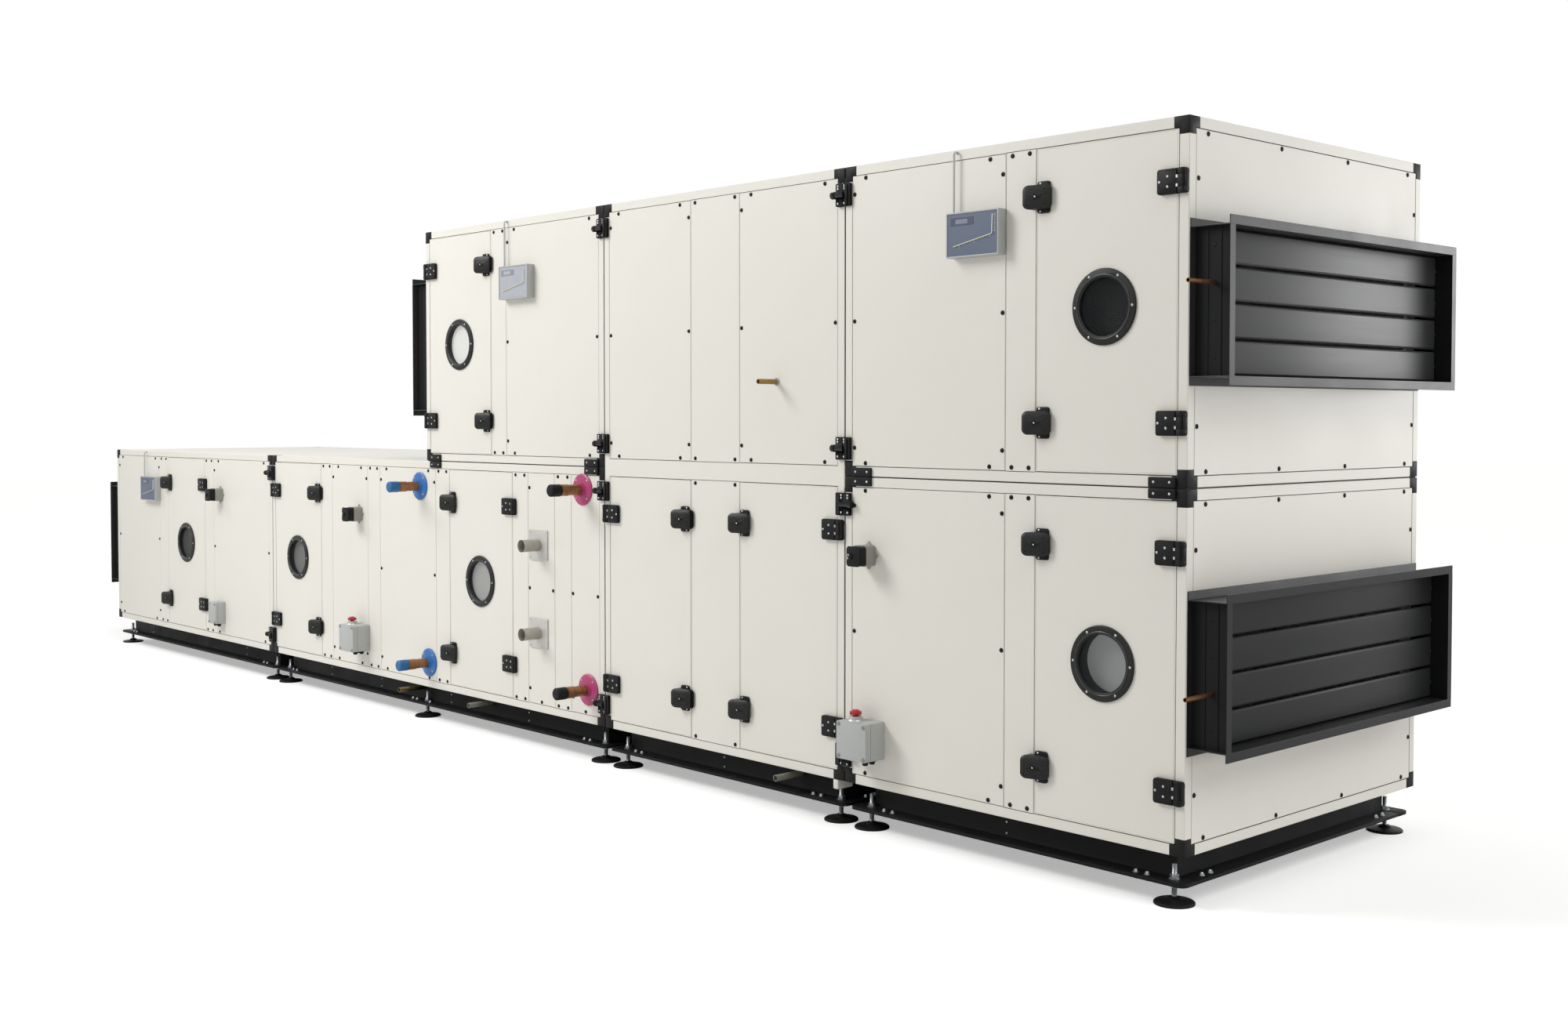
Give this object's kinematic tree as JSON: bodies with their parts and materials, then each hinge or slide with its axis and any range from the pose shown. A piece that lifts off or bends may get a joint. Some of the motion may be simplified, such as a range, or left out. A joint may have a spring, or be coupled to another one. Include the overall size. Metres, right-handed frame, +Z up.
{
  "type": "air handling unit",
  "caption": "Two-deck sectional air handling unit: cream insulated casing with hinged access doors, geared end dampers, duct frames, pipe stubs and a black base on levelling feet.",
  "frame": {"origin": "on the floor, under the middle of the unit's outline box", "axes": "+Z up, +X along the unit towards the damper end, doors face -Y"},
  "size_m": [7.79, 1.506, 2.18],
  "materials": {
    "casing_paint": "cream polyester powder coat",
    "black_plastic": "moulded black glass-filled nylon",
    "base_paint": "black powder coat",
    "duct_paint": "satin dark grey paint",
    "blade_aluminium": "dark coated aluminium",
    "zinc_steel": "zinc plate",
    "gasket_rubber": "closed-cell rubber",
    "window_glass": "clear",
    "gauge_plastic": "grey-blue moulded",
    "clear_hose": "translucent hose",
    "grey_plastic": "light grey moulded",
    "red_plastic": "red moulded",
    "copper": "aged copper tube",
    "blue_plastic": "blue moulded",
    "pink_plastic": "pink moulded",
    "galvanised": "galvanised sheet",
    "brass": "dull"
  },
  "bodies": {
    "root": {"base_end_rails": "base_paint", "base_side_rails": "base_paint", "coil_pipes": "copper", "cooling_rosettes": "blue_plastic", "corner_pieces": "black_plastic", "deck_links": "black_plastic", "drain_pipes": "brass", "duct_frame_jambs": "duct_paint", "duct_frame_rails": "duct_paint", "end_panels": "casing_paint", "floor_panels": "casing_paint", "foot_discs": "black_plastic", "foot_studs": "zinc_steel", "frame_bars": "casing_paint", "front_panels": "casing_paint", "gauge_tubes": "clear_hose", "heating_rosettes": "pink_plastic", "hinge_brackets": "black_plastic", "mid_rails": "casing_paint", "mullions": "casing_paint", "pipe_caps": "black_plastic", "pressure_gauges": "gauge_plastic", "rear_panels": "casing_paint", "roof_panels": "casing_paint", "section_clamps": "black_plastic", "section_gaskets": "gasket_rubber", "steam_plates": "galvanised", "stop_buttons": "red_plastic", "switch_boxes": "grey_plastic", "switch_covers": "black_plastic", "upper_door_fittings": "black_plastic", "upper_door_glass": "window_glass", "upper_doors": "casing_paint"},
    "door_a": {"door_a": "casing_paint", "door_a_fittings": "black_plastic", "door_a_glass": "window_glass"},
    "door_b_left": {"door_b_left": "casing_paint", "door_b_left_fittings": "black_plastic", "door_b_left_glass": "window_glass"},
    "door_b_right": {"door_b_right": "casing_paint", "door_b_right_fittings": "black_plastic", "door_b_right_glass": "window_glass"},
    "door_c_left": {"door_c_left": "casing_paint", "door_c_left_fittings": "black_plastic"},
    "door_c_right": {"door_c_right": "casing_paint", "door_c_right_fittings": "black_plastic"},
    "door_d": {"door_d": "casing_paint", "door_d_fittings": "black_plastic", "door_d_glass": "window_glass"},
    "blade_lower_1": {"blade_lower_1": "blade_aluminium"},
    "blade_lower_2": {"blade_lower_2": "blade_aluminium"},
    "blade_lower_3": {"blade_lower_3": "blade_aluminium"},
    "blade_lower_4": {"blade_lower_4": "blade_aluminium"},
    "blade_upper_1": {"blade_upper_1": "blade_aluminium"},
    "blade_upper_2": {"blade_upper_2": "blade_aluminium"},
    "blade_upper_3": {"blade_upper_3": "blade_aluminium"},
    "blade_upper_4": {"blade_upper_4": "blade_aluminium"}
  },
  "joints": [
    {"name": "door_a_swing", "type": "hinge", "parent": "root", "child": "door_a", "pos_m": [-2.511, -0.602, 0.6565], "axis": [0, 0, 1], "range_deg": [0, 100]},
    {"name": "door_b_left_swing", "type": "hinge", "parent": "root", "child": "door_b_left", "pos_m": [-1.693, -0.602, 0.6565], "axis": [0, 0, -1], "range_deg": [0, 100]},
    {"name": "door_b_right_swing", "type": "hinge", "parent": "root", "child": "door_b_right", "pos_m": [0.507, -0.602, 0.6565], "axis": [0, 0, 1], "range_deg": [0, 100]},
    {"name": "door_c_left_swing", "type": "hinge", "parent": "root", "child": "door_c_left", "pos_m": [1.147, -0.602, 0.6565], "axis": [0, 0, -1], "range_deg": [0, 100]},
    {"name": "door_c_right_swing", "type": "hinge", "parent": "root", "child": "door_c_right", "pos_m": [2.434, -0.602, 0.6565], "axis": [0, 0, 1], "range_deg": [0, 100]},
    {"name": "door_d_swing", "type": "hinge", "parent": "root", "child": "door_d", "pos_m": [3.755, -0.602, 0.6565], "axis": [0, 0, 1], "range_deg": [0, 100]},
    {"name": "blade_lower_1_turn", "type": "hinge", "parent": "root", "child": "blade_lower_1", "pos_m": [3.8325, 0.067, 0.505], "axis": [0, -1, 0], "range_deg": [0, 90]},
    {"name": "blade_lower_2_turn", "type": "hinge", "parent": "root", "child": "blade_lower_2", "pos_m": [3.8325, 0.067, 0.606], "axis": [0, 1, 0], "range_deg": [0, 90]},
    {"name": "blade_lower_3_turn", "type": "hinge", "parent": "root", "child": "blade_lower_3", "pos_m": [3.8325, 0.067, 0.707], "axis": [0, -1, 0], "range_deg": [0, 90]},
    {"name": "blade_lower_4_turn", "type": "hinge", "parent": "root", "child": "blade_lower_4", "pos_m": [3.8325, 0.067, 0.808], "axis": [0, 1, 0], "range_deg": [0, 90]},
    {"name": "blade_upper_1_turn", "type": "hinge", "parent": "root", "child": "blade_upper_1", "pos_m": [3.8325, 0.067, 1.522], "axis": [0, 1, 0], "range_deg": [0, 90]},
    {"name": "blade_upper_2_turn", "type": "hinge", "parent": "root", "child": "blade_upper_2", "pos_m": [3.8325, 0.067, 1.623], "axis": [0, -1, 0], "range_deg": [0, 90]},
    {"name": "blade_upper_3_turn", "type": "hinge", "parent": "root", "child": "blade_upper_3", "pos_m": [3.8325, 0.067, 1.724], "axis": [0, 1, 0], "range_deg": [0, 90]},
    {"name": "blade_upper_4_turn", "type": "hinge", "parent": "root", "child": "blade_upper_4", "pos_m": [3.8325, 0.067, 1.825], "axis": [0, -1, 0], "range_deg": [0, 90]}
  ],
  "couplings": [
    {"joint": "blade_lower_1_turn", "follows": "blade_lower_2_turn", "ratio": 1},
    {"joint": "blade_lower_3_turn", "follows": "blade_lower_2_turn", "ratio": 1},
    {"joint": "blade_lower_4_turn", "follows": "blade_lower_2_turn", "ratio": 1},
    {"joint": "blade_upper_1_turn", "follows": "blade_upper_3_turn", "ratio": 1},
    {"joint": "blade_upper_2_turn", "follows": "blade_upper_3_turn", "ratio": 1},
    {"joint": "blade_upper_4_turn", "follows": "blade_upper_3_turn", "ratio": 1}
  ]
}
